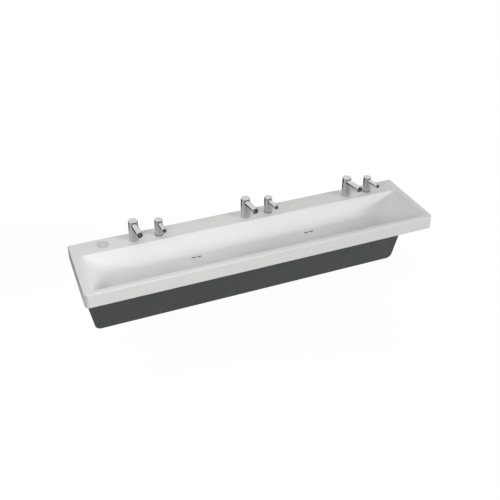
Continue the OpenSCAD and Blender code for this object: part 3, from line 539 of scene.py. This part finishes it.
def basin_mesh():
    """Slab, apron and bowl in one moulding, hollow underneath."""
    skin = Skin()
    slab_top, slab_bottom = slab_rim(skin)
    bowl_rim, bowl_floor = bowl_wall(skin, BOWL_DEPTHS)
    holes_high, holes_low = shank_holes(skin)
    skin.plane(slab_top, bowl_rim, *holes_high, disc_seat(skin))

    inner_x, corners = HALF_LENGTH - WALL, [SLAB_CORNER - WALL] * 4
    pocket = rounded_loop(-inner_x, inner_x, WALL - REACH, -WALL, corners, POCKET_STEPS)
    pocket_high, pocket_low = skin.well(pocket, TOP - WALL, TOP - APRON)
    skin.plane(slab_bottom, pocket_low)
    shell_rim, shell_floor = bowl_wall(skin, SHELL_DEPTHS, WALL)
    skin.plane(pocket_high, shell_rim, *holes_low)

    seats, throats = drain_openings(skin)
    skin.plane(bowl_floor, *seats)
    skin.plane(shell_floor, *throats)
    return skin.build("basin_moulding")


basin = basin_mesh()
basin.data.materials.append(FINISH["solid_surface"])
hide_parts("basin")
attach(basin, "basin_unit")


# CAD nodes keep their shape, with evened shading and a finish each

def paint_slot_shade(name, mesh):
    """Painted shade: gives the inner walls of a drain cover's slots the dark finish, for the shadow down the
    drain.
    """
    low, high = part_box(name)
    middle = (Vector(low) + Vector(high)) / 2
    mesh.materials.append(FINISH["dark_plastic"])
    for polygon in mesh.polygons:
        upright = abs(polygon.normal.z) < 0.5
        away = polygon.center - middle
        inside = abs(away.x) < SLOT_SHADE_HALF_LENGTH * MM and abs(away.y) < SLOT_SHADE_HALF_WIDTH * MM
        polygon.material_index = 1 if upright and inside else 0


def dress(name, obj, finish):
    obj.data.materials.clear()
    obj.data.materials.append(finish)
    for polygon in obj.data.polygons:
        polygon.use_smooth = True
        polygon.material_index = 0
    # Drain covers get painted shade on the walls of their slots
    if name.startswith("drain_cover"):
        paint_slot_shade(name, obj.data)
    weld = obj.modifiers.new("weld", "WELD")
    weld.merge_threshold = SOLID_MERGE * MM
    split = obj.modifiers.new("split", "EDGE_SPLIT")
    split.split_angle = SHARP_ANGLE


slots = {part["node"]: part["material_slot"] for part in frame["record"]["subparts"]}
for name, obj in frame["nodes"].items():
    if name != "basin":
        dress(name, obj, FINISH[slots[name]])


# The studio, in metres

def seen_ray(tree):
    """1 for what the camera sees, straight, mirrored or through glass, and 0 for light on surfaces."""
    path = tree.nodes.new("ShaderNodeLightPath")
    seen = path.outputs["Is Camera Ray"]
    for name in ("Is Glossy Ray", "Is Transmission Ray"):
        either = tree.nodes.new("ShaderNodeMath")
        either.operation = "MAXIMUM"
        tree.links.new(seen, either.inputs[0])
        tree.links.new(path.outputs[name], either.inputs[1])
        seen = either.outputs["Value"]
    return seen


def studio_world(strength):
    """White background; surfaces get its light at a strength of their own."""
    world = bpy.data.worlds.new("studio")
    bpy.context.scene.world = world
    world.use_nodes = True
    tree = world.node_tree
    tree.nodes.clear()
    out = tree.nodes.new("ShaderNodeOutputWorld")
    ambient = tree.nodes.new("ShaderNodeBackground")
    ambient.inputs["Color"].default_value = (1, 1, 1, 1)
    ambient.inputs["Strength"].default_value = strength
    white = tree.nodes.new("ShaderNodeBackground")
    white.inputs["Color"].default_value = (1, 1, 1, 1)
    white.inputs["Strength"].default_value = 1.0
    mix = tree.nodes.new("ShaderNodeMixShader")
    tree.links.new(seen_ray(tree), mix.inputs["Fac"])
    tree.links.new(ambient.outputs["Background"], mix.inputs[1])
    tree.links.new(white.outputs["Background"], mix.inputs[2])
    tree.links.new(mix.outputs["Shader"], out.inputs["Surface"])


def floor_finish(shade, glow_strength):
    """Pale floor: the camera sees it almost white, and a shadow still darkens it."""
    material, tree = empty_material("pale_floor")
    out = tree.nodes.new("ShaderNodeOutputMaterial")
    body = tree.nodes.new("ShaderNodeBsdfDiffuse")
    body.inputs["Color"].default_value = (shade, shade, shade, 1)
    glow = tree.nodes.new("ShaderNodeEmission")
    glow.inputs["Color"].default_value = (1, 1, 1, 1)
    strength = tree.nodes.new("ShaderNodeMath")
    strength.operation = "MULTIPLY"
    strength.inputs[1].default_value = glow_strength
    tree.links.new(seen_ray(tree), strength.inputs[0])
    tree.links.new(strength.outputs["Value"], glow.inputs["Strength"])
    both = tree.nodes.new("ShaderNodeAddShader")
    tree.links.new(body.outputs["BSDF"], both.inputs[0])
    tree.links.new(glow.outputs["Emission"], both.inputs[1])
    tree.links.new(both.outputs["Shader"], out.inputs["Surface"])
    return material


def stage_plane(name, centre, x_half, y_half, rotation, material):
    mesh = bpy.data.meshes.new(name)
    corners = [(-x_half, -y_half, 0), (x_half, -y_half, 0), (x_half, y_half, 0), (-x_half, y_half, 0)]
    mesh.from_pydata(corners, [], [(0, 1, 2, 3)])
    mesh.materials.append(material)
    obj = bpy.data.objects.new(name, mesh)
    obj.location = centre
    obj.rotation_euler = rotation
    bpy.context.scene.collection.objects.link(obj)
    return obj


def reflected_card(name, centre, x_half, y_half, rotation, shade):
    """Studio card that only reflections see, for the dark edges of polished metal."""
    material = bpy.data.materials.new(name)
    material.use_nodes = True
    shader = material.node_tree.nodes["Principled BSDF"]
    shader.inputs["Base Color"].default_value = (shade, shade, shade, 1)
    shader.inputs["Roughness"].default_value = 0.9
    card = stage_plane(name, centre, x_half, y_half, rotation, material)
    card.visible_camera = False
    card.visible_diffuse = False
    card.visible_transmission = False
    card.visible_shadow = False


def add_light(name, kind, strength):
    light = bpy.data.lights.new(name, kind)
    light.energy = strength
    obj = bpy.data.objects.new(name, light)
    obj.visible_glossy = False
    bpy.context.scene.collection.objects.link(obj)
    return light, obj


def sun(name, turn, height, strength, softness):
    """Far soft light, placed by degrees: turn from straight ahead to the right, height above level."""
    light, obj = add_light(name, "SUN", strength)
    light.angle = math.radians(softness)
    level = math.cos(math.radians(height))
    ahead = Vector((math.sin(math.radians(turn)), -math.cos(math.radians(turn)), 0))
    source = ahead * level + Vector((0, 0, math.sin(math.radians(height))))
    obj.rotation_euler = source.to_track_quat("Z", "Y").to_euler()


def soft_lamp(name, place, aim, size, strength):
    light, obj = add_light(name, "AREA", strength)
    light.shape = "DISK"
    light.size = size
    obj.location = place
    obj.rotation_euler = (Vector(place) - Vector(aim)).to_track_quat("Z", "Y").to_euler()


def add_camera(place, forward, lens, shift_y):
    data = bpy.data.cameras.new("camera")
    data.sensor_width = 36
    data.lens = lens
    data.shift_y = shift_y
    data.clip_start = 0.05
    data.clip_end = 200
    camera = bpy.data.objects.new("camera", data)
    forward = Vector(forward).normalized()
    right = forward.cross(Vector((0, 0, 1))).normalized()
    up = right.cross(forward)
    turn = Matrix((right, up, -forward)).transposed()
    camera.matrix_world = Matrix.Translation(Vector(place)) @ turn.to_4x4()
    bpy.context.scene.collection.objects.link(camera)
    bpy.context.scene.camera = camera


AMBIENT = 0.24
FLOOR_PLACE = (0, 0, -0.65)
FLOOR_HALF = 30
FLAT = (0, 0, 0)
UPRIGHT = (math.pi / 2, 0, 0)
BEHIND_BASIN = (0, 0.6, -0.22)

studio_world(AMBIENT)
stage_plane("floor", FLOOR_PLACE, FLOOR_HALF, FLOOR_HALF, FLAT, floor_finish(shade=0.25, glow_strength=0.85))
reflected_card("dark_card", BEHIND_BASIN, x_half=3, y_half=0.42, rotation=UPRIGHT, shade=0.03)
sun("low_front_right", turn=47, height=15, strength=1.95, softness=17)
sun("low_front_left", turn=-45, height=20, strength=0.55, softness=14)
sun("high_left", turn=-50, height=45, strength=0.45, softness=40)
sun("rear", turn=180, height=50, strength=0.38, softness=40)
soft_lamp("upper_left", place=(-1.0, -1.0, 1.8), aim=(-0.7, -0.3, 0.2), size=1.2, strength=7.2)
add_camera(place=(-1.5477, -4.0237, 2.8055), forward=(0.33646, 0.83983, -0.426), lens=54.164, shift_y=-0.2335)
bpy.context.scene.view_settings.view_transform = "Standard"
